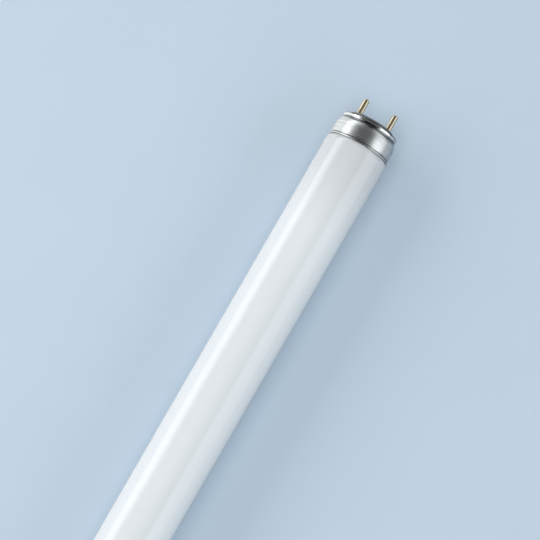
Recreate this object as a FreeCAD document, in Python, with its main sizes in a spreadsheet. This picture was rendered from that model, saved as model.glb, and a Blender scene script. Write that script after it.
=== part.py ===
# A straight fluorescent lamp with a 26 mm glass tube and a two-pin cap on each end, in millimetres.
# It lies along X with its middle at the origin, and the two pins of each end stand side by side along Y.
import FreeCAD, Part
import math
import os
import re
import Sketcher

# Driving sizes: name, value and meaning. A depth is counted inwards from the cap's end face.
SIZES = [
    ("face_to_face", 589.3, "length of the lamp without its pins and their collars"),
    ("glass_diameter", 25.8, "straight part of the glass tube"),
    ("neck_step", 1.3, "how much the glass draws in inside the caps, on its radius"),
    ("neck_inset", 0.8, "from the cap's open edge in to where the glass has drawn in"),
    ("neck_angle", 50, "steepest slope between the full width and the neck, in degrees"),
    ("neck_share", 0.75, "share of the rounded shoulder in that slope, the rest is hollow"),
    ("seal_depth", 4.4, "depth of the rim where tube and stem are melted together"),
    ("seal_radius", 1.4, "round of that rim"),
    ("flare_length", 9, "cone of the stem behind the rim"),
    ("stem_depth", 24, "depth of the press, where the leads come out of the glass"),
    ("stem_bore", 8.4, "straight part of the stem, inside"),
    ("exhaust_diameter", 3.6, "exhaust tube on the stem's axis"),
    ("exhaust_depth", 5.6, "depth of its melted tip"),
    ("cap_length", 11.35, "cap from its end face to its open edge"),
    ("shell_wall", 0.3, "aluminium sheet of the cap"),
    ("hem_width", 0.85, "hem that stiffens the open edge"),
    ("hem_height", 0.15, "how far the hem stands out from the wall"),
    ("roll_angle", 45, "slope of the rolled forms where one passes into the next, in degrees"),
    ("shoulder_bend", 3.7, "shoulder of the cap; each bend is measured on its tighter side"),
    ("groove_bend", 0.4, "groove below the bead"),
    ("bead_bend", 0.7, "bead rolled over the edge of the insulator"),
    ("lip_width", 0.6, "flat of the shell's turned-in end"),
    ("edge_fit", 0.05, "clearance round the insulator, the pins and the leads"),
    ("rim_land", 0.36, "flat of the insulator's edge, between two bevels"),
    ("platform_rise", 0.95, "how far the end face, the insulator's middle, stands out of the shell"),
    ("platform_gap", 0.65, "between the shell's turned-in end and that middle"),
    ("platform_bevel", 0.3, "bevel of its edge"),
    ("cement_thickness", 0.55, "cement between glass and cap"),
    ("cement_inset", 0.3, "from where the glass has drawn in to the cement"),
    ("cement_rest", 1, "from the cement to the cap's shoulder"),
    ("pin_spacing", 12.7, "between the axes of the two pins"),
    ("pin_diameter", 2.4, "contact pins"),
    ("pin_length", 7.35, "pin beyond the cap's end face"),
    ("pin_round", 0.45, "round of the pin's tip"),
    ("dimple_diameter", 0.9, "dimple in the pin's tip"),
    ("dimple_depth", 0.3, "its depth"),
    ("collar_step", 0.4, "how far the collars that clamp the insulator stand out from the pin"),
    ("collar_width", 0.6, "their thickness"),
    ("pin_tail", 0.5, "pin behind its inner collar"),
    ("bore_reach", 0.5, "how far the pin's bore goes past the end face"),
    ("lead_diameter", 0.7, "lead-in wires"),
    ("lead_spacing", 6.1, "between the leads where they leave the press"),
    ("lead_angle", 50, "slope of the leads between press and pins, in degrees"),
    ("lead_straight", 0.6, "straight end of the leads behind the pins"),
]

# Radii and depths that follow from the sizes, as expressions. The shoulder, groove and bead of the
# cap pass into one another at one distance from the axis, ROLL_RADIUS.
FACE = "face_to_face / 2"
NECK_RADIUS = "(glass_diameter / 2 - neck_step)"
NECK_DEPTH = "(cap_length - neck_inset)"
SLOPE_RADII = "(neck_step / (1 - cos(neck_angle)))"
CAP_BORE = f"({NECK_RADIUS} + cement_thickness)"
ROLL_RADIUS = f"({CAP_BORE} + shell_wall - (shoulder_bend + shell_wall) * (1 - cos(roll_angle)))"
BEAD = "(bead_bend + shell_wall)"
BEAD_DEPTH = f"(platform_rise + {BEAD})"
SHOULDER_DEPTH = (
    f"({BEAD_DEPTH} + ({BEAD} + 2 * groove_bend + shoulder_bend + shell_wall) * sin(roll_angle))"
)
BEAD_CENTRE = f"({ROLL_RADIUS} - {BEAD} * cos(roll_angle))"
HEM = "(hem_width / 2)"
DISC_EDGE = "(bead_bend - edge_fit)"
DISC_BACK = f"({BEAD_DEPTH} + {DISC_EDGE})"
PIN_BACK = f"({DISC_BACK} + collar_width + pin_tail)"
LEAD_RADIUS = "((pin_spacing - lead_spacing) / 4 / (1 - cos(lead_angle)))"

document = FreeCAD.newDocument("FluorescentLamp")
sheet = document.addObject("Spreadsheet::Sheet", "Sizes")
for row, (alias, number, meaning) in enumerate(SIZES, start=1):
    sheet.set(f"A{row}", alias.replace("_", " "))
    sheet.set(f"B{row}", str(number))
    sheet.setAlias(f"B{row}", alias)
    sheet.set(f"C{row}", meaning)
document.recompute()
ALIASES = {alias for alias, _, _ in SIZES}


def bound(expression):
    """Write an expression of size names as one that reads those cells of the sheet."""
    return re.sub(
        r"[a-z_]+",
        lambda word: f"Sizes.{word.group()}" if word.group() in ALIASES else word.group(),
        expression,
    )


def value(expression):
    """Give the number that an expression has now."""
    return float(sheet.evalExpression(bound(expression)))


def new_body(label, place):
    """Start a sub-part. Its place is its X and Y, and the axis of its half turn, if it has one."""
    body = document.addObject("PartDesign::Body", label)
    body.Label = label
    along, across, turn_axis = place
    if turn_axis:
        body.Placement.Rotation = FreeCAD.Rotation(FreeCAD.Vector(*turn_axis), 180)
    body.setExpression(".Placement.Base.x", bound(along))
    body.setExpression(".Placement.Base.y", bound(across))
    return body


def origin_plane(body, role):
    """Find one of the body's own origin planes."""
    return next(feature for feature in body.Origin.OriginFeatures if feature.Role == role)


def new_sketch(body, name, role):
    """Start a sketch on one of the body's own origin planes."""
    sketch = body.newObject("Sketcher::SketchObject", name)
    sketch.AttachmentSupport = (origin_plane(body, role), [""])
    sketch.MapMode = "FlatFace"
    return sketch


def constrain(sketch, kind, where, expression):
    """Add a sized constraint, bound to the sheet. A distance that runs backwards is turned round."""
    number = value(expression)
    if kind != "Radius" and number < 0:
        number = -number
        expression = f"-({expression})"
        where = where[2:] + where[:2]
    index = sketch.addConstraint(Sketcher.Constraint(kind, *where, number))
    sketch.setExpression(f"Constraints[{index}]", bound(expression))


def circle(sketch, along, radius):
    """Draw a circle centred on the sketch's first axis."""
    centre = FreeCAD.Vector(value(along), 0, 0)
    index = sketch.addGeometry(Part.Circle(centre, FreeCAD.Vector(0, 0, 1), value(radius)))
    sketch.addConstraint(Sketcher.Constraint("PointOnObject", index, 3, -1))
    constrain(sketch, "DistanceX", (-1, 1, index, 3), along)
    constrain(sketch, "Radius", (index,), radius)


def line(along, across):
    """One straight step of an outline, as expressions."""
    return along, across, None, 0


def arc(along, across, radius, side):
    """One curved step, which turns left for side 1 and right for side -1."""
    return along, across, radius, side


def arc_geometry(first, last, radius, side):
    """The arc of less than half a turn between two points."""
    chord = last - first
    half = chord.Length / 2
    rise = math.sqrt(max(radius * radius - half * half, 0))
    normal = FreeCAD.Vector(-chord.y, chord.x, 0).normalize() * side
    centre = (first + last) / 2 + normal * rise
    ends = (first, last) if side > 0 else (last, first)
    start, stop = (math.atan2(point.y - centre.y, point.x - centre.x) for point in ends)
    return Part.ArcOfCircle(Part.Circle(centre, FreeCAD.Vector(0, 0, 1), radius), start, stop)


def outline(body, name, start, steps, closed=True):
    """Draw an outline in the XY plane from its start, step by step, and back to it if closed."""
    sketch = new_sketch(body, name, "XY_Plane")
    first = spot = FreeCAD.Vector(value(start[0]), value(start[1]), 0)
    ends = []
    for along, across, radius, side in steps:
        target = spot + FreeCAD.Vector(value(along), value(across), 0)
        if radius:
            index = sketch.addGeometry(arc_geometry(spot, target, value(radius), side))
        else:
            index = sketch.addGeometry(Part.LineSegment(spot, target))
        ends.append((index, 1, 2) if side >= 0 else (index, 2, 1))
        spot = target
    if closed:
        ends.append((sketch.addGeometry(Part.LineSegment(spot, first)), 1, 2))
    joins = list(zip(ends, ends[1:]))
    if closed:
        joins.append((ends[-1], ends[0]))
    for (before, _, tail), (after, head, _) in joins:
        sketch.addConstraint(Sketcher.Constraint("Coincident", before, tail, after, head))
    start_point = ends[0][:2]
    for expression, kind, axis in ((start[0], "DistanceX", -2), (start[1], "DistanceY", -1)):
        if expression == "0":
            sketch.addConstraint(Sketcher.Constraint("PointOnObject", *start_point, axis))
        else:
            constrain(sketch, kind, (-1, 1, *start_point), expression)
    for (along, across, radius, _), (index, head, tail) in zip(steps, ends):
        both = (index, head, index, tail)
        if along == "0":
            sketch.addConstraint(Sketcher.Constraint("Vertical", *both))
        else:
            constrain(sketch, "DistanceX", both, along)
        if across == "0":
            sketch.addConstraint(Sketcher.Constraint("Horizontal", *both))
        else:
            constrain(sketch, "DistanceY", both, across)
        if radius:
            constrain(sketch, "Radius", (index,), radius)
    return sketch


def turned(body, name, start, steps):
    """Turn a closed outline about the body's X axis."""
    solid = body.newObject("PartDesign::Revolution", name)
    sketch = outline(body, f"{name}Outline", start, steps)
    solid.Profile = sketch
    solid.ReferenceAxis = (sketch, ["H_Axis"])
    solid.Angle = 360
    body.Tip = solid
    return solid


def run_and_drop(radius, angle):
    """How far an arc that starts level runs, and how far it drops, until it slopes by the angle."""
    return f"({radius}) * sin({angle})", f"({radius}) * (1 - cos({angle}))"


def glass_tube():
    """The glass with what is sealed in it: tube, shoulders, necks, and at each end the rim, the
    hollow of the stem and the exhaust tube with its melted tip. One closed solid."""
    body = new_body("glass_tube", ("0", "0", None))
    shoulder = f"{SLOPE_RADII} * neck_share"
    hollow = f"{SLOPE_RADII} * (1 - neck_share)"
    shoulder_run, shoulder_drop = run_and_drop(shoulder, "neck_angle")
    hollow_run, hollow_drop = run_and_drop(hollow, "neck_angle")
    steps = [
        line("0", "glass_diameter / 2"),
        line(f"{FACE} - {NECK_DEPTH} - {SLOPE_RADII} * sin(neck_angle)", "0"),
        arc(shoulder_run, f"-{shoulder_drop}", shoulder, -1),
        arc(hollow_run, f"-{hollow_drop}", hollow, 1),
        line(f"{NECK_DEPTH} - seal_depth - seal_radius", "0"),
        arc("seal_radius", "-seal_radius", "seal_radius", -1),
        arc("-seal_radius", "-seal_radius", "seal_radius", -1),
        line("-flare_length", f"-({NECK_RADIUS} - 2 * seal_radius - stem_bore / 2)"),
        line("-(stem_depth - seal_depth - seal_radius - flare_length)", "0"),
        line("0", "-(stem_bore - exhaust_diameter) / 2"),
        line("stem_depth - exhaust_depth - exhaust_diameter / 2", "0"),
        arc("exhaust_diameter / 2", "-exhaust_diameter / 2", "exhaust_diameter / 2", -1),
    ]
    half = turned(body, "HalfTube", ("0", "0"), steps)
    whole = body.newObject("PartDesign::Mirrored", "WholeTube")
    whole.Originals = [half]
    whole.MirrorPlane = (origin_plane(body, "YZ_Plane"), [""])
    body.Tip = whole
    return body


def cap_shell(label, place):
    """The cap, drawn and rolled from one aluminium sheet: hemmed edge, straight wall, shoulder, groove,
    and the bead that is rolled over the insulator and turned in. Inside it follows the same curves."""
    body = new_body(label, place)
    hem_fall = f"sqrt(hem_height * (2 * {HEM} - hem_height))"
    shoulder_run, shoulder_drop = run_and_drop("(shoulder_bend + shell_wall)", "roll_angle")
    outside = [
        line("0", f"shell_wall + hem_height - {HEM}"),
        arc(HEM, HEM, HEM, -1),
        arc(hem_fall, "-hem_height", HEM, -1),
        line(f"cap_length - {HEM} - {hem_fall} - {SHOULDER_DEPTH}", "0"),
        arc(shoulder_run, f"-{shoulder_drop}", "(shoulder_bend + shell_wall)", -1),
        arc("2 * groove_bend * sin(roll_angle)", "0", "groove_bend", 1),
        arc(f"{BEAD} * (1 + sin(roll_angle))", f"-{BEAD} * cos(roll_angle)", BEAD, -1),
    ]
    turned_in = [
        line("0", "-lip_width"),
        line("-shell_wall", "0"),
        line("0", "lip_width"),
    ]
    groove = "(groove_bend + shell_wall)"
    shoulder_run, shoulder_rise = run_and_drop("shoulder_bend", "roll_angle")
    inside = [
        arc("-bead_bend * (1 + sin(roll_angle))", "bead_bend * cos(roll_angle)", "bead_bend", 1),
        arc(f"-2 * {groove} * sin(roll_angle)", "0", groove, -1),
        arc(f"-{shoulder_run}", shoulder_rise, "shoulder_bend", 1),
    ]
    turned(body, "Shell", ("-cap_length", CAP_BORE), outside + turned_in + inside)
    return body


def insulator(label, place):
    """The moulded disc that carries the pins. Its bevelled edge sits in the bead, and its raised middle
    stands out of the cap as the lamp's end face."""
    body = new_body(label, place)
    platform = f"({BEAD_CENTRE} - lip_width - platform_gap)"
    bevel = f"({DISC_EDGE} - rim_land / 2)"
    steps = [
        line("0", BEAD_CENTRE),
        line(bevel, bevel),
        line("rim_land", "0"),
        line(bevel, f"-{bevel}"),
        line("0", f"-({BEAD_CENTRE} - {platform})"),
        line(f"{BEAD_DEPTH} - {DISC_EDGE} - platform_bevel", "0"),
        line("platform_bevel", "-platform_bevel"),
        line("0", f"-({platform} - platform_bevel)"),
    ]
    turned(body, "Disc", (f"-{DISC_BACK}", "0"), steps)
    pin_holes = new_sketch(body, "PinHoles", "YZ_Plane")
    circle(pin_holes, "pin_spacing / 2", "pin_diameter / 2 + edge_fit")
    circle(pin_holes, "-pin_spacing / 2", "pin_diameter / 2 + edge_fit")
    holes = body.newObject("PartDesign::Pocket", "Holes")
    holes.Profile = pin_holes
    holes.Type = "ThroughAll"
    body.Tip = holes
    return body


def cement_ring(label, place):
    """The ring of hard cement that fills the gap between the neck of the glass and the cap."""
    body = new_body(label, place)
    steps = [
        line("0", "cement_thickness"),
        line(f"{NECK_DEPTH} - cement_inset - {SHOULDER_DEPTH} - cement_rest", "0"),
        line("0", "-cement_thickness"),
    ]
    turned(body, "Ring", (f"-({NECK_DEPTH} - cement_inset)", NECK_RADIUS), steps)
    return body


def contact_pin(label, place):
    """A brass pin, clamped to the insulator by two collars. The bore at its back takes the lead."""
    body = new_body(label, place)
    bore = "(lead_diameter / 2 + edge_fit)"
    steps = [
        line("0", bore),
        line(f"-(bore_reach + {PIN_BACK})", "0"),
        line("0", f"pin_diameter / 2 - {bore}"),
        line("pin_tail", "0"),
        line("0", "collar_step"),
        line("collar_width", "0"),
        line("0", "-collar_step"),
        line(DISC_BACK, "0"),
        line("0", "collar_step"),
        line("collar_width", "0"),
        line("0", "-collar_step"),
        line("pin_length - collar_width - pin_round", "0"),
        arc("pin_round", "-pin_round", "pin_round", -1),
        line("0", "-(pin_diameter / 2 - pin_round - dimple_diameter / 2)"),
        line("-dimple_depth", "-dimple_diameter / 2"),
    ]
    turned(body, "Pin", ("bore_reach", "0"), steps)
    return body


def lead_wire(label, place):
    """A lead-in wire, from the press of the stem along the exhaust tube, out to the pin's line and
    to the bottom of its bore."""
    body = new_body(label, place)
    run, rise = run_and_drop(LEAD_RADIUS, "lead_angle")
    steps = [
        line(f"stem_depth - {PIN_BACK} - lead_straight - 2 * {run}", "0"),
        arc(run, rise, LEAD_RADIUS, 1),
        arc(run, rise, LEAD_RADIUS, -1),
        line(f"lead_straight + {PIN_BACK} + bore_reach", "0"),
    ]
    path = outline(body, "Path", ("-stem_depth", "lead_spacing / 2"), steps, closed=False)
    section = new_sketch(body, "Section", "YZ_Plane")
    section.setExpression(".AttachmentOffset.Base.z", bound("-stem_depth"))
    circle(section, "lead_spacing / 2", "lead_diameter / 2")
    wire = body.newObject("PartDesign::AdditivePipe", "Wire")
    wire.Profile = section
    wire.Spine = (path, [f"Edge{number + 1}" for number in range(len(steps))])
    body.Tip = wire
    return body


def end_pieces(end, sign, end_turn, lead_turns):
    """Make what one end of the lamp has. Each piece is drawn for the right end, and half a turn
    brings it to the left one; a lead is drawn at the back, and is turned to the front as well."""
    along = f"{sign}{FACE}"
    pieces = [
        cap_shell(f"cap_shell_{end}", (along, "0", end_turn)),
        insulator(f"insulator_{end}", (along, "0", end_turn)),
        cement_ring(f"cement_ring_{end}", (along, "0", end_turn)),
    ]
    for side, across in (("front", "-pin_spacing / 2"), ("back", "pin_spacing / 2")):
        pieces.append(contact_pin(f"contact_pin_{end}_{side}", (along, across, end_turn)))
        pieces.append(lead_wire(f"lead_wire_{end}_{side}", (along, "0", lead_turns[side])))
    return pieces


# Right is +X and front is -Y.
ABOUT_X, ABOUT_Y, ABOUT_Z = (1, 0, 0), (0, 1, 0), (0, 0, 1)
pieces = [glass_tube()]
pieces += end_pieces("right", "", None, {"front": ABOUT_X, "back": None})
pieces += end_pieces("left", "-", ABOUT_Z, {"front": ABOUT_Z, "back": ABOUT_Y})
document.recompute()

for item in document.Objects:
    if "Invalid" in item.State or "Error" in item.State:
        raise RuntimeError(f"{item.Label}: {item.State}")
for piece in pieces:
    if piece.Shape.isNull() or not piece.Shape.isValid() or len(piece.Shape.Solids) != 1:
        raise RuntimeError(f"{piece.Label} isn't one valid solid")

os.makedirs("parts", exist_ok=True)
for piece in pieces:
    piece.Shape.exportStep(f"parts/{piece.Label}.step")
    print(f"{piece.Label}: {piece.Shape.Volume:.3f} mm3")
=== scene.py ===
import bpy
import math
from mathutils import Matrix, Vector


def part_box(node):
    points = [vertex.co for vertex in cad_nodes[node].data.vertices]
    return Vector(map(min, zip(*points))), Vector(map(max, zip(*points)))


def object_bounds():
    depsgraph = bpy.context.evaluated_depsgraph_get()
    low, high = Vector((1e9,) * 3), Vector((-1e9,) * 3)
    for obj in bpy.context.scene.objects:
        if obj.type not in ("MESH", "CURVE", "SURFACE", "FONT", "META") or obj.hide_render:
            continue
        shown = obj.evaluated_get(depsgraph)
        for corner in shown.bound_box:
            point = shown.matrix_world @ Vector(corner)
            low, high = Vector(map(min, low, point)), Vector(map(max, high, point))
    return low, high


# A straight fluorescent lamp with a two-pin cap on each end, dressed for a studio photograph.
# All lengths are in metres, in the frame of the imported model: the lamp lies along X.
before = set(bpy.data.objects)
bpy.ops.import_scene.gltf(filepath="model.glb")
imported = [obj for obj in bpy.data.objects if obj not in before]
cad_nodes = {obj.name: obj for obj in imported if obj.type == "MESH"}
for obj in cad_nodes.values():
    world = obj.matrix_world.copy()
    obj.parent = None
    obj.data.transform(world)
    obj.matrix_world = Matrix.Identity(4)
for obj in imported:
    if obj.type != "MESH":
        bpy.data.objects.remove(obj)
cad_low, cad_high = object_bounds()


# The glass tube: one blown length of soda-lime glass, white inside with a baked powder coating.
# The powder is a little greyer towards the cathodes, and the outside keeps faint wiping marks.
# Its refraction is set high, for the shine of its outer and its inner face together.
POWDER_WHITE = (0.80, 0.82, 0.83, 1)
POWDER_GREYED = (0.66, 0.67, 0.68, 1)
GREYED_LENGTH = 0.042
GLASS_IOR = 1.8
GLASS_ROUGHNESS = 0.07
GLASS_WIPED_ROUGHNESS = 0.16
GLASS_WAVINESS = 0.02
WAVE_STRETCH, WAVE_HEIGHT = (6, 60, 60), 0.0004
WIPE_SCALE = 38
SMEAR_STRETCH, SMEAR_LIMITS = (0.35, 1, 1), (0.52, 0.72)
SCRATCH_STRETCH, SCRATCH_LIMITS = (0.16, 1, 1), (0.68, 0.74)
SCRATCH_FINENESS, SCRATCH_STRENGTH = 9, 0.7
MOTTLE_SCALE, MOTTLE_SHARE = 260, 0.12


def shader_node(tree, kind, inputs=None, **settings):
    """Add a shader node. Each input is a number, a colour or the socket that feeds it."""
    node = tree.nodes.new(kind)
    for name, setting in settings.items():
        setattr(node, name, setting)
    for name, source in (inputs or {}).items():
        if isinstance(source, bpy.types.NodeSocket):
            tree.links.new(source, node.inputs[name])
        else:
            node.inputs[name].default_value = source
    return node


def maths(tree, operation, first, second=0.0, clamp=False):
    """Work out one value from two."""
    inputs = {0: first, 1: second}
    return shader_node(tree, "ShaderNodeMath", inputs, operation=operation, use_clamp=clamp).outputs[0]


def spread(tree, value, low, high, to_low=0.0, to_high=1.0):
    """Stretch a value between two limits, smoothly and clamped, to two others."""
    inputs = {"Value": value, "From Min": low, "From Max": high, "To Min": to_low, "To Max": to_high}
    node = shader_node(tree, "ShaderNodeMapRange", inputs, interpolation_type="SMOOTHSTEP")
    return node.outputs["Result"]


def blend_colours(tree, share, first, second):
    """Mix two colours by a share. The node's colour sockets are its inputs 6 and 7 and its output 2."""
    node = shader_node(tree, "ShaderNodeMix", data_type="RGBA")
    for index, source in ((0, share), (6, first), (7, second)):
        if isinstance(source, bpy.types.NodeSocket):
            tree.links.new(source, node.inputs[index])
        else:
            node.inputs[index].default_value = source
    return node.outputs[2]


def grain(tree, place, scale, detail=3.0, roughness=0.55):
    """Soft noise from 0 to 1 at a place."""
    inputs = {"Vector": place, "Scale": scale, "Detail": detail, "Roughness": roughness}
    return shader_node(tree, "ShaderNodeTexNoise", inputs).outputs[0]


def stretched(tree, place, scales):
    """Scale a place by its own factor along each axis."""
    inputs = {0: place, 1: scales}
    return shader_node(tree, "ShaderNodeVectorMath", inputs, operation="MULTIPLY").outputs[0]


def new_group(name, inputs, outputs):
    """Start a node group. Gives its tree, its inputs and the node that takes its outputs."""
    tree = bpy.data.node_groups.new(name, "ShaderNodeTree")
    for label, kind in inputs:
        tree.interface.new_socket(label, in_out="INPUT", socket_type=kind)
    for label, kind in outputs:
        tree.interface.new_socket(label, in_out="OUTPUT", socket_type=kind)
    return tree, tree.nodes.new("NodeGroupInput").outputs, tree.nodes.new("NodeGroupOutput").inputs


def wiping_marks_group():
    """Faint smears and small scratches, as a mask, from handling and wiping."""
    inputs = [("Scale", "NodeSocketFloat"), ("Amount", "NodeSocketFloat")]
    tree, given, out = new_group("wiping_marks", inputs, [("Mask", "NodeSocketFloat")])
    place = shader_node(tree, "ShaderNodeTexCoord").outputs["Object"]
    smear_place = stretched(tree, place, SMEAR_STRETCH)
    smear_grain = grain(tree, smear_place, given["Scale"], detail=4, roughness=0.6)
    smears = spread(tree, smear_grain, *SMEAR_LIMITS)
    scratch_scale = maths(tree, "MULTIPLY", given["Scale"], SCRATCH_FINENESS)
    scratch_place = stretched(tree, place, SCRATCH_STRETCH)
    scratch_grain = grain(tree, scratch_place, scratch_scale, detail=2, roughness=0.5)
    scratches = spread(tree, scratch_grain, *SCRATCH_LIMITS)
    both = maths(tree, "MAXIMUM", smears, maths(tree, "MULTIPLY", scratches, SCRATCH_STRENGTH))
    tree.links.new(maths(tree, "MULTIPLY", both, given["Amount"], clamp=True), out["Mask"])
    return tree


wiping_marks = wiping_marks_group()


def placed_group(tree, group, **values):
    """Place a node group with its own values, whose underscores stand for spaces."""
    inputs = {name.replace("_", " "): value for name, value in values.items()}
    return shader_node(tree, "ShaderNodeGroup", inputs, node_tree=group).outputs


def new_material(name, **values):
    """Start a material. Gives it, its node tree and its shader with plain values set."""
    material = bpy.data.materials.new(name)
    material.use_nodes = True
    tree = material.node_tree
    shader = tree.nodes["Principled BSDF"]
    for label, value in values.items():
        shader.inputs[label.replace("_", " ")].default_value = value
    return material, tree, shader


def raise_surface(tree, shader, height, distance, strength=1.0):
    """Feed a height into the shader's normal."""
    inputs = {"Height": height, "Distance": distance, "Strength": strength}
    bump = shader_node(tree, "ShaderNodeBump", inputs)
    tree.links.new(bump.outputs["Normal"], shader.inputs["Normal"])


def dress(node_names, material):
    """Give CAD nodes a material."""
    for name in node_names:
        cad_nodes[name].data.materials.clear()
        cad_nodes[name].data.materials.append(material)


def coated_glass_material():
    """Clear glossy glass on white powder, greyed near the cathodes."""
    material, tree, shader = new_material("coated_glass", IOR=GLASS_IOR)
    place = shader_node(tree, "ShaderNodeTexCoord").outputs["Object"]
    along = shader_node(tree, "ShaderNodeSeparateXYZ", {0: place}).outputs[0]
    from_middle = maths(tree, "ABSOLUTE", along)
    cap_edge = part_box("cap_shell_right")[0].x
    greyed = spread(tree, from_middle, cap_edge - GREYED_LENGTH, cap_edge)
    mottle = grain(tree, place, MOTTLE_SCALE, detail=5, roughness=0.6)
    uneven = maths(tree, "ADD", greyed, maths(tree, "MULTIPLY", mottle, MOTTLE_SHARE))
    share = maths(tree, "SUBTRACT", uneven, MOTTLE_SHARE / 2, clamp=True)
    colour = blend_colours(tree, share, POWDER_WHITE, POWDER_GREYED)
    tree.links.new(colour, shader.inputs["Base Color"])
    marks = placed_group(tree, wiping_marks, Scale=WIPE_SCALE, Amount=1.0)["Mask"]
    roughness = spread(tree, marks, 0, 1, GLASS_ROUGHNESS, GLASS_WIPED_ROUGHNESS)
    tree.links.new(roughness, shader.inputs["Roughness"])
    drawn_place = stretched(tree, place, WAVE_STRETCH)
    waves = grain(tree, drawn_place, scale=1, detail=2)
    raise_surface(tree, shader, waves, WAVE_HEIGHT, GLASS_WAVINESS)
    return material


dress(["glass_tube"], coated_glass_material())


# The caps: each is drawn and rolled from one sheet of soft aluminium, left bright, and cemented on.
# Marks of the rolling run round the wall. The bead is rubbed bright. Painted shade darkens the groove,
# the line behind the hem and the sheet's two edges, where shade falls in the folds.
ENDS = ("left", "right")
ALUMINIUM = (0.90, 0.92, 0.93, 1)
ALUMINIUM_DULL = (0.66, 0.69, 0.70, 1)
ALUMINIUM_RUBBED = (0.93, 0.94, 0.95, 1)
# The colour of the painted shade in the groove, behind the hem and at the sheet's two edges.
PAINTED_SHADE_COLOUR = (0.10, 0.105, 0.12, 1)
WALL_ROUGHNESS = (0.38, 0.52)
RUBBED_ROUGHNESS = 0.20
BEAD_LENGTH = 0.0019
RUBBED_FADE = 0.0006
# Painted shade lines: where each lies, its half width and its strength.
BEAD_END_HALF_WIDTH, BEAD_END_SHADE = 0.0010, 0.9
GROOVE_DEPTH, GROOVE_HALF_WIDTH, GROOVE_SHADE = 0.0023, 0.0009, 0.74
HEM_LINE_INSET, HEM_LINE_HALF_WIDTH, HEM_LINE_SHADE = 0.0008, 0.0004, 0.75
OPEN_EDGE_HALF_WIDTH, OPEN_EDGE_SHADE = 0.00018, 0.7
ROLLING_STRETCH, ROLLING_TURN = 0.8, 0.25
RING_FINENESS, RING_BREAK_UP, RING_LIMITS, RING_SHARE = 4200, 1.4, (0.36, 0.64), 0.4
BAND_FINENESS, BAND_BREAK_UP, BAND_LIMITS, BAND_SHARE = 900, 0.8, (0.38, 0.62), 0.6
RING_DEPTH = 0.000012
CAP_MARKS_SCALE = 120


def rolled_rings_group():
    """Fine lines that run round the lamp's axis, as a height from 0 to 1."""
    inputs = [("Fineness", "NodeSocketFloat"), ("Break Up", "NodeSocketFloat")]
    tree, given, out = new_group("rolled_rings", inputs, [("Height", "NodeSocketFloat")])
    place = shader_node(tree, "ShaderNodeTexCoord").outputs["Object"]
    along = shader_node(tree, "ShaderNodeSeparateXYZ", {0: place}).outputs[0]
    across = stretched(tree, place, (0, 1, 1))
    turn = shader_node(tree, "ShaderNodeVectorMath", {0: across}, operation="NORMALIZE").outputs[0]
    around = shader_node(tree, "ShaderNodeVectorMath", {0: turn}, operation="SCALE")
    tree.links.new(given["Break Up"], around.inputs["Scale"])
    fine = maths(tree, "MULTIPLY", along, given["Fineness"])
    step = shader_node(tree, "ShaderNodeCombineXYZ", {0: fine}).outputs[0]
    where = shader_node(tree, "ShaderNodeVectorMath", {0: step, 1: around.outputs[0]}, operation="ADD")
    rings = grain(tree, where.outputs[0], scale=1, detail=4, roughness=0.65)
    tree.links.new(rings, out["Height"])
    return tree


rolled_rings = rolled_rings_group()


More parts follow.
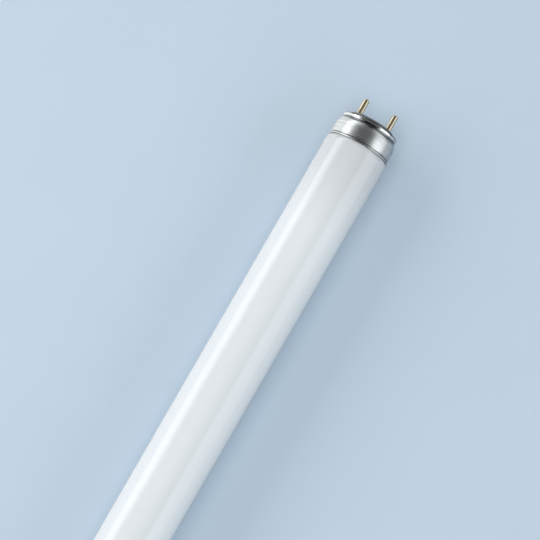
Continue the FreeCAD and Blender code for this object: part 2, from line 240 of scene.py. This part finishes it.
def cap_aluminium_material():
    """Bright rolled sheet, by the depth behind the bead's outermost edge, with painted shade in its folds.
    """
    rolled = {"Anisotropic": ROLLING_STRETCH, "Anisotropic_Rotation": ROLLING_TURN}
    material, tree, shader = new_material("cap_aluminium", Metallic=1, **rolled)
    around = shader_node(tree, "ShaderNodeTangent", direction_type="RADIAL", axis="X")
    tree.links.new(around.outputs[0], shader.inputs["Tangent"])
    place = shader_node(tree, "ShaderNodeTexCoord").outputs["Object"]
    along = shader_node(tree, "ShaderNodeSeparateXYZ", {0: place}).outputs[0]
    open_edge, bead_edge = (corner.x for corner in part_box("cap_shell_right"))
    depth = maths(tree, "SUBTRACT", bead_edge, maths(tree, "ABSOLUTE", along))
    rings = placed_group(tree, rolled_rings, Fineness=RING_FINENESS, Break_Up=RING_BREAK_UP)["Height"]
    bands = placed_group(tree, rolled_rings, Fineness=BAND_FINENESS, Break_Up=BAND_BREAK_UP)["Height"]
    marks = placed_group(tree, wiping_marks, Scale=CAP_MARKS_SCALE, Amount=1.0)["Mask"]
    fine = spread(tree, rings, *RING_LIMITS, 0, RING_SHARE)
    broad = spread(tree, bands, *BAND_LIMITS, 0, BAND_SHARE)
    dullness = maths(tree, "ADD", fine, broad)
    wall_colour = blend_colours(tree, dullness, ALUMINIUM, ALUMINIUM_DULL)
    wall_roughness = spread(tree, maths(tree, "MAXIMUM", dullness, marks), 0, 1, *WALL_ROUGHNESS)
    rubbed = spread(tree, depth, BEAD_LENGTH - RUBBED_FADE, BEAD_LENGTH, 1, 0)
    metal = blend_colours(tree, rubbed, wall_colour, ALUMINIUM_RUBBED)
    cap_length = bead_edge - open_edge
    # Painted shade: dark bands where shade falls, at the bead's end, in the groove, behind the hem and at
    # the open edge.
    painted_shade_lines = [
        (0, BEAD_END_HALF_WIDTH, BEAD_END_SHADE),
        (GROOVE_DEPTH, GROOVE_HALF_WIDTH, GROOVE_SHADE),
        (cap_length - HEM_LINE_INSET, HEM_LINE_HALF_WIDTH, HEM_LINE_SHADE),
        (cap_length, OPEN_EDGE_HALF_WIDTH, OPEN_EDGE_SHADE),
    ]
    painted_shade_share = 0
    for middle, half_width, strength in painted_shade_lines:
        distance = maths(tree, "ABSOLUTE", maths(tree, "SUBTRACT", depth, middle))
        painted_shade_band = spread(tree, distance, half_width / 2, half_width, strength, 0)
        painted_shade_share = maths(tree, "MAXIMUM", painted_shade_band, painted_shade_share)
    tree.links.new(blend_colours(tree, painted_shade_share, metal, PAINTED_SHADE_COLOUR), shader.inputs["Base Color"])
    glossy = maths(tree, "MAXIMUM", rubbed, painted_shade_share)
    smooth = maths(tree, "MULTIPLY", glossy, maths(tree, "SUBTRACT", wall_roughness, RUBBED_ROUGHNESS))
    tree.links.new(maths(tree, "SUBTRACT", wall_roughness, smooth), shader.inputs["Roughness"])
    raise_surface(tree, shader, rings, RING_DEPTH)
    return material


dress([f"cap_shell_{end}" for end in ENDS], cap_aluminium_material())


# The insulators: discs of dark grey phenolic, moulded with a satin face, held by the bead of each cap.
# The moulding powder gives them small paler flecks.
PHENOLIC = (0.13, 0.15, 0.165, 1)
PHENOLIC_FLECK = (0.20, 0.22, 0.235, 1)
PHENOLIC_ROUGHNESS = (0.32, 0.5)
FLECK_SCALE, FLECK_SHARE, FLECK_LIMITS, FLECK_HEIGHT = 2600, 0.3, (0.3, 0.7), 0.00002
BARE_THRESHOLD, THRESHOLD_DROP, FLECK_EDGE = 0.75, 0.5, 0.06


def speckle_group():
    """Scattered flecks as a mask, and a grain of their size as a height."""
    inputs = [("Scale", "NodeSocketFloat"), ("Share", "NodeSocketFloat")]
    outputs = [("Mask", "NodeSocketFloat"), ("Height", "NodeSocketFloat")]
    tree, given, out = new_group("speckle", inputs, outputs)
    place = shader_node(tree, "ShaderNodeTexCoord").outputs["Object"]
    noise = grain(tree, place, given["Scale"], detail=3, roughness=0.7)
    lowered = maths(tree, "MULTIPLY", given["Share"], THRESHOLD_DROP)
    threshold = maths(tree, "SUBTRACT", BARE_THRESHOLD, lowered)
    mask = spread(tree, noise, threshold, maths(tree, "ADD", threshold, FLECK_EDGE))
    tree.links.new(mask, out["Mask"])
    tree.links.new(noise, out["Height"])
    return tree


speckle = speckle_group()


def insulator_moulding_material():
    """Dark grey moulded phenolic."""
    material, tree, shader = new_material("insulator_moulding")
    flecks = placed_group(tree, speckle, Scale=FLECK_SCALE, Share=FLECK_SHARE)
    colour = blend_colours(tree, flecks["Mask"], PHENOLIC, PHENOLIC_FLECK)
    tree.links.new(colour, shader.inputs["Base Color"])
    roughness = spread(tree, flecks["Height"], *FLECK_LIMITS, *PHENOLIC_ROUGHNESS)
    tree.links.new(roughness, shader.inputs["Roughness"])
    raise_surface(tree, shader, flecks["Height"], FLECK_HEIGHT)
    return material


dress([f"insulator_{end}" for end in ENDS], insulator_moulding_material())


# The capping cement: resin and marble flour, baked hard between the neck of the glass and the cap.
# It is buff and gritty, and sits behind the cap's hem.
CEMENT = (0.50, 0.42, 0.31, 1)
CEMENT_DARK = (0.36, 0.29, 0.20, 1)
CEMENT_ROUGHNESS = (0.7, 0.95)
GRIT_SCALE, GRIT_SHARE, GRIT_LIMITS, GRIT_HEIGHT = 1500, 0.45, (0.2, 0.8), 0.00015


def capping_cement_material():
    """Matt grainy cement."""
    material, tree, shader = new_material("capping_cement")
    grit = placed_group(tree, speckle, Scale=GRIT_SCALE, Share=GRIT_SHARE)
    colour = blend_colours(tree, grit["Mask"], CEMENT, CEMENT_DARK)
    tree.links.new(colour, shader.inputs["Base Color"])
    roughness = spread(tree, grit["Height"], *GRIT_LIMITS, *CEMENT_ROUGHNESS)
    tree.links.new(roughness, shader.inputs["Roughness"])
    raise_surface(tree, shader, grit["Height"], GRIT_HEIGHT)
    return material


dress([f"cement_ring_{end}" for end in ENDS], capping_cement_material())


# The contact pins: turned brass, clamped to the insulators by their collars.
# Drawing lines run along them, and the foot of each pin is a little tarnished.
SIDES = ("front", "back")
BRASS = (0.74, 0.68, 0.52, 1)
BRASS_TARNISHED = (0.38, 0.25, 0.10, 1)
TARNISH_LENGTH = 0.004
PIN_ROUGHNESS = (0.10, 0.32)
DRAWING_STRETCH, DRAWING_SHARE, DRAWING_DEPTH = (90, 5200, 5200), 0.2, 0.000015
SPOT_SCALE, SPOT_LIMITS, SPOT_SHARE = 900, (0.35, 0.75), 0.35


def pin_brass_material():
    """Drawn and turned brass."""
    material, tree, shader = new_material("pin_brass", Metallic=1)
    place = shader_node(tree, "ShaderNodeTexCoord").outputs["Object"]
    along = shader_node(tree, "ShaderNodeSeparateXYZ", {0: place}).outputs[0]
    from_middle = maths(tree, "ABSOLUTE", along)
    foot_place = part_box("cap_shell_right")[1].x
    foot = spread(tree, from_middle, foot_place, foot_place + TARNISH_LENGTH, 1, 0)
    drawn_place = stretched(tree, place, DRAWING_STRETCH)
    drawn = grain(tree, drawn_place, scale=1, detail=3, roughness=0.6)
    spot_grain = grain(tree, place, SPOT_SCALE, detail=4, roughness=0.65)
    spots = spread(tree, spot_grain, *SPOT_LIMITS)
    stain = maths(tree, "MULTIPLY", maths(tree, "ADD", foot, SPOT_SHARE), spots)
    share = maths(tree, "ADD", stain, maths(tree, "MULTIPLY", drawn, DRAWING_SHARE), clamp=True)
    colour = blend_colours(tree, share, BRASS, BRASS_TARNISHED)
    tree.links.new(colour, shader.inputs["Base Color"])
    roughness = spread(tree, share, 0, 1, *PIN_ROUGHNESS)
    tree.links.new(roughness, shader.inputs["Roughness"])
    raise_surface(tree, shader, drawn, DRAWING_DEPTH)
    return material


dress([f"contact_pin_{end}_{side}" for end in ENDS for side in SIDES], pin_brass_material())


# The lead-in wires: nickel-plated, from the glass to the pins. The caps hide them.
# They are a little dull in places, from the flame that seals them in.
NICKEL = (0.60, 0.57, 0.52, 1)
NICKEL_DULL = (0.38, 0.35, 0.31, 1)
NICKEL_ROUGHNESS = (0.28, 0.45)
WIRE_MARKS_SCALE = 900


def lead_wire_material():
    """Drawn plated wire."""
    material, tree, shader = new_material("lead_wire", Metallic=1)
    marks = placed_group(tree, wiping_marks, Scale=WIRE_MARKS_SCALE, Amount=1.0)["Mask"]
    colour = blend_colours(tree, marks, NICKEL, NICKEL_DULL)
    tree.links.new(colour, shader.inputs["Base Color"])
    tree.links.new(spread(tree, marks, 0, 1, *NICKEL_ROUGHNESS), shader.inputs["Roughness"])
    return material


dress([f"lead_wire_{end}_{side}" for end in ENDS for side in SIDES], lead_wire_material())


# The floor: a large plain pale blue sheet under the lamp, and a pale surround for the far reflections.
# An arch over the lamp is seen in reflections alone: a bright soft box on the left, a weaker one on
# the right, and nearly dark between them, as in a product studio.
FLOOR_COLOUR = (0.56, 0.66, 0.76, 1)
FLOOR_ROUGHNESS, FLOOR_MOTTLE_SCALE, FLOOR_MOTTLE_SHADE = 0.9, 30, 0.95
FLOOR_REACH = 6.0
# The floor's painted reflection: what metal and glass see of it, lit on the left, in shade on the right,
# dark past the end.
FLOOR_MIRRORED_PAINTED_LIT = (0.98, 1.0, 1.0, 1)
FLOOR_MIRRORED_PAINTED_SHADE = (0.27, 0.33, 0.42, 1)
FLOOR_MIRRORED_PAINTED_HALF_SHADE = (0.48, 0.53, 0.58, 1)
FLOOR_MIRRORED_PAINTED_DARK = (0.03, 0.035, 0.045, 1)
LIT_FROM, FAR_RIGHT_FROM, PAST_END_FROM = (0, 0.025), (-0.06, -0.02), (0.31, 0.36)
SURROUND_COLOUR = (0.82, 0.88, 0.93, 1)
SURROUND_LIGHT = 0.42
ARCH_RADIUS = 0.9
ARCH_LENGTH = 10.0
ARCH_STRIPS = 48
ARCH_COLOUR = (0.97, 0.99, 1.0, 1)
DARK_GAP, DARK_GAP_FAR = 0.20, 0.005
DARK_GAP_MIDDLE, DARK_GAP_FADE = 0.75, (0.25, 0.65)
LEFT_BOX, LEFT_BOX_EDGE = 2.1, (math.radians(48), math.radians(72))
RIGHT_BOX, RIGHT_BOX_EDGE = 1.22, (math.radians(31), math.radians(43))
RIGHT_BOX_END, RIGHT_BOX_END_SHARE = (math.radians(76), math.radians(98)), 0.5


def staged(name, corners, faces, material):
    """A sheet that belongs to the studio."""
    mesh = bpy.data.meshes.new(name)
    mesh.from_pydata(corners, [], faces)
    mesh.materials.append(material)
    sheet = bpy.data.objects.new(name, mesh)
    bpy.context.scene.collection.objects.link(sheet)
    return sheet


def floor_material():
    """Pale matt paint, faintly mottled. In reflections it glows with painted light and shade: white on
    the left, painted shade on the right, and painted dark past the right end."""
    material, tree, shader = new_material("floor_paint", Roughness=FLOOR_ROUGHNESS)
    place = shader_node(tree, "ShaderNodeTexCoord").outputs["Object"]
    darker = tuple(FLOOR_MOTTLE_SHADE * channel for channel in FLOOR_COLOUR[:3]) + (1,)
    mottle = grain(tree, place, FLOOR_MOTTLE_SCALE, detail=4)
    tree.links.new(blend_colours(tree, mottle, FLOOR_COLOUR, darker), shader.inputs["Base Color"])
    part = shader_node(tree, "ShaderNodeSeparateXYZ", {0: place}).outputs
    # Painted reflection: an emission seen by glossy and transmission rays alone, painted lit, shaded and
    # dark by place.
    lit = spread(tree, part[1], *LIT_FROM)
    far_right = spread(tree, part[1], *FAR_RIGHT_FROM, 1, 0)
    right = blend_colours(tree, far_right, FLOOR_MIRRORED_PAINTED_SHADE, FLOOR_MIRRORED_PAINTED_HALF_SHADE)
    beside = blend_colours(tree, lit, right, FLOOR_MIRRORED_PAINTED_LIT)
    past_end = spread(tree, part[0], *PAST_END_FROM)
    mirrored = blend_colours(tree, past_end, beside, FLOOR_MIRRORED_PAINTED_DARK)
    glow = shader_node(tree, "ShaderNodeEmission", {"Color": mirrored}).outputs[0]
    ray = shader_node(tree, "ShaderNodeLightPath").outputs
    in_a_mirror = maths(tree, "MAXIMUM", ray["Is Glossy Ray"], ray["Is Transmission Ray"])
    both = shader_node(tree, "ShaderNodeMixShader", {0: in_a_mirror, 1: shader.outputs[0], 2: glow})
    tree.links.new(both.outputs[0], tree.nodes["Material Output"].inputs["Surface"])
    return material


def arch_material():
    """The soft boxes' own light, which fades at their edges, by the angle from straight overhead."""
    material, tree, shader = new_material("studio_arch")
    tree.nodes.remove(shader)
    place = shader_node(tree, "ShaderNodeTexCoord").outputs["Object"]
    part = shader_node(tree, "ShaderNodeSeparateXYZ", {0: place}).outputs
    to_left = maths(tree, "ARCTAN2", part[1], part[2])
    to_right = maths(tree, "MULTIPLY", to_left, -1)
    left_box = spread(tree, to_left, *LEFT_BOX_EDGE, 0, LEFT_BOX)
    right_start = spread(tree, to_right, *RIGHT_BOX_EDGE, 0, RIGHT_BOX)
    right_end = spread(tree, to_right, *RIGHT_BOX_END, 1, RIGHT_BOX_END_SHARE)
    right_box = maths(tree, "MULTIPLY", right_start, right_end)
    boxes = maths(tree, "ADD", left_box, right_box)
    gap_place = maths(tree, "ABSOLUTE", maths(tree, "SUBTRACT", part[0], DARK_GAP_MIDDLE))
    gap = spread(tree, gap_place, *DARK_GAP_FADE, DARK_GAP, DARK_GAP_FAR)
    glow = {"Color": ARCH_COLOUR, "Strength": maths(tree, "MAXIMUM", boxes, gap)}
    emission = shader_node(tree, "ShaderNodeEmission", glow)
    tree.links.new(emission.outputs[0], tree.nodes["Material Output"].inputs["Surface"])
    return material


corner_signs = ((-1, -1), (1, -1), (1, 1), (-1, 1))
floor_corners = [(x * FLOOR_REACH, y * FLOOR_REACH, cad_low.z) for x, y in corner_signs]
staged("floor", floor_corners, [(0, 1, 2, 3)], floor_material())
arch_corners = []
for strip in range(ARCH_STRIPS + 1):
    angle = math.pi * (strip / ARCH_STRIPS - 0.5)
    for x in (-ARCH_LENGTH / 2, ARCH_LENGTH / 2):
        arch_corners.append((x, ARCH_RADIUS * math.sin(angle), ARCH_RADIUS * math.cos(angle)))
arch_faces = [(2 * n, 2 * n + 1, 2 * n + 3, 2 * n + 2) for n in range(ARCH_STRIPS)]
for end in (0, 1):
    arch_faces.append([2 * n + end for n in range(ARCH_STRIPS + 1)])
arch = staged("studio_arch", arch_corners, arch_faces, arch_material())
arch.visible_camera = False
arch.visible_diffuse = False
arch.visible_shadow = False

world = bpy.data.worlds.new("surround")
bpy.context.scene.world = world
world.use_nodes = True
world_tree = world.node_tree
world_tree.nodes.clear()
seen = shader_node(world_tree, "ShaderNodeLightPath").outputs
seen_directly = maths(world_tree, "MAXIMUM", seen["Is Camera Ray"], seen["Is Glossy Ray"])
shown = maths(world_tree, "MAXIMUM", seen_directly, seen["Is Transmission Ray"])
strength = spread(world_tree, shown, 0, 1, SURROUND_LIGHT, 1)
surround = shader_node(world_tree, "ShaderNodeBackground", {"Color": SURROUND_COLOUR, "Strength": strength})
world_output = shader_node(world_tree, "ShaderNodeOutputWorld")
world_tree.links.new(surround.outputs[0], world_output.inputs[0])


# The lamps: a long soft box on each side, the left one stronger, and a broad one above.
# They light the object and the floor, and the arch takes their place in the reflections.
def soft_box(name, place, size, power, colour):
    """A rectangular lamp that faces the middle of the object."""
    lamp = bpy.data.lights.new(name, "AREA")
    lamp.shape = "RECTANGLE"
    lamp.size, lamp.size_y = size
    lamp.energy = power
    lamp.color = colour
    box = bpy.data.objects.new(name, lamp)
    box.location = place
    box.rotation_mode = "QUATERNION"
    box.rotation_quaternion = (-Vector(place)).to_track_quat("-Z", "X")
    box.visible_glossy = False
    bpy.context.scene.collection.objects.link(box)


PLAIN_LIGHT, COOL_LIGHT = (1, 1, 1), (0.86, 0.95, 1)
soft_box("left_soft_box", place=(0, 0.9, 0.5), size=(0.5, 1.8), power=6.8, colour=PLAIN_LIGHT)
soft_box("right_soft_box", place=(0, -1.0, 0.6), size=(0.5, 1.8), power=4.7, colour=COOL_LIGHT)
soft_box("top_light", place=(0, 0.15, 1.6), size=(1.2, 1.8), power=10.5, colour=PLAIN_LIGHT)


# The camera: far off with a long lens, looking down on the right end of the lamp. It leans back
# along the lamp and is rolled, so that the lamp rises to the right in the picture.
LEAN = math.radians(10)
LAMP_SLOPE = math.radians(60)
PICTURE_SIZE = 540
PIXELS_PER_METRE = 2587
BEAD_EDGE_PIXEL = Vector((370.91, 126.30))
LENS, SENSOR = 500, 36

view_direction = Vector((math.sin(LEAN), 0, -math.cos(LEAN)))
lamp_in_picture = Vector((math.cos(LEAN), 0, math.sin(LEAN)))
left_in_picture = Vector((0, 1, 0))
camera_right = math.cos(LAMP_SLOPE) * lamp_in_picture - math.sin(LAMP_SLOPE) * left_in_picture
camera_up = math.sin(LAMP_SLOPE) * lamp_in_picture + math.cos(LAMP_SLOPE) * left_in_picture
from_edge = Vector((PICTURE_SIZE / 2, PICTURE_SIZE / 2)) - BEAD_EDGE_PIXEL
bead_edge = Vector((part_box("cap_shell_right")[1].x, 0, 0))
aim = bead_edge + (from_edge.x * camera_right - from_edge.y * camera_up) / PIXELS_PER_METRE
distance = PICTURE_SIZE / PIXELS_PER_METRE * LENS / SENSOR
camera_data = bpy.data.cameras.new("camera")
camera_data.lens, camera_data.sensor_width = LENS, SENSOR
camera = bpy.data.objects.new("camera", camera_data)
bpy.context.scene.collection.objects.link(camera)
turn = Matrix((camera_right, camera_up, -view_direction)).transposed()
camera.matrix_world = Matrix.Translation(aim - distance * view_direction) @ turn.to_4x4()
bpy.context.scene.camera = camera
bpy.context.scene.view_settings.view_transform = "Standard"
